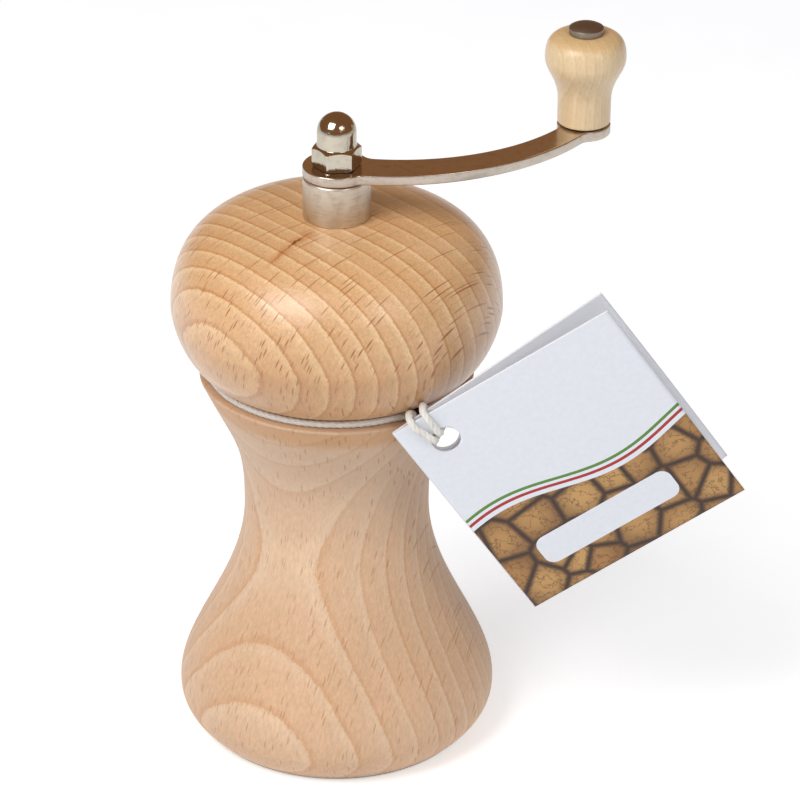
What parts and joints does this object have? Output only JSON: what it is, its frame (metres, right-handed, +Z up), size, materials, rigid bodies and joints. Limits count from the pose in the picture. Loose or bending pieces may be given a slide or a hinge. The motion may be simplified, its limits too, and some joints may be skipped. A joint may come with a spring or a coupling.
{
  "type": "mechanical nutmeg grater",
  "caption": "Hand-cranked wooden nutmeg mill: hourglass body, lift-off round head, curved steel crank with wooden knob, sprung claw over a blade plate, and a card tag on a string.",
  "frame": {"origin": "on the floor, under the middle of the mill and its crank in X and on the mill's axis in Y", "axes": "+Z up along the mill's axis; the crank reaches towards +X; the picture looks along +Y"},
  "size_m": [0.1294, 0.0752, 0.1671],
  "materials": {
    "body_beech": "waxed pinkish beech with arched growth rings",
    "head_beech": "glossy lacquered tan beech with ring lines and dark flecks",
    "knob_beech": "satin pale beech",
    "blade_steel": "stamped stainless sheet with raised cutting edges",
    "screw_steel": "bright slotted screws",
    "collar_steel": "satin turned steel with a bright bevel",
    "zinc_steel": "bright zinc-plated steel",
    "shaft_steel": "drawn square bar, satin",
    "crank_steel": "mirror-polished faces and bright edges",
    "nut_chrome": "bright nickel plate",
    "claw_steel": "stamped stainless, satin",
    "spring_steel": "drawn spring wire",
    "rivet_steel": "bright domed rivet",
    "cotton": "natural twisted cotton",
    "tag_card": null
  },
  "bodies": {
    "mill_body": {"body_shell": "body_beech", "blade_plate": "blade_steel", "blade_screw_1": "screw_steel", "blade_screw_2": "screw_steel", "blade_screw_3": "screw_steel"},
    "head": {"head_block": "head_beech", "collar": "collar_steel", "collar_washer": "zinc_steel", "collar_nut": "zinc_steel"},
    "spindle": {"thrust_washer": "zinc_steel"},
    "crank": {"shaft": "shaft_steel", "crank_arm": "crank_steel", "cap_nut": "nut_chrome", "claw_plate": "claw_steel", "claw_nut": "zinc_steel", "spring": "spring_steel", "knob_washer": "zinc_steel", "knob_rivet": "rivet_steel"},
    "knob": {"knob_grip": "knob_beech"},
    "tag": {"tag_string": "cotton", "hang_tag": "tag_card"}
  },
  "joints": [
    {"name": "head_lift", "type": "slide", "parent": "mill_body", "child": "head", "axis": [0, 0, 1], "range_m": [0, 0.085]},
    {"name": "crank_spin", "type": "hinge", "parent": "head", "child": "spindle", "pos_m": [-0.01383, 0, 0.1122], "axis": [0, 0, 1], "continuous": true},
    {"name": "crank_lift", "type": "slide", "parent": "spindle", "child": "crank", "axis": [0, 0, 1], "range_m": [0, 0.03], "stiffness_N_per_m": 400, "springref_m": -0.02, "deforming": ["spring"]},
    {"name": "knob_spin", "type": "hinge", "parent": "crank", "child": "knob", "pos_m": [0.04223, 0.02287, 0.154], "axis": [0, 0, 1], "continuous": true},
    {"name": "tag_turn", "type": "hinge", "parent": "head", "child": "tag", "pos_m": [-0.01383, 0, 0.0909], "axis": [0, 0, 1], "continuous": true}
  ]
}
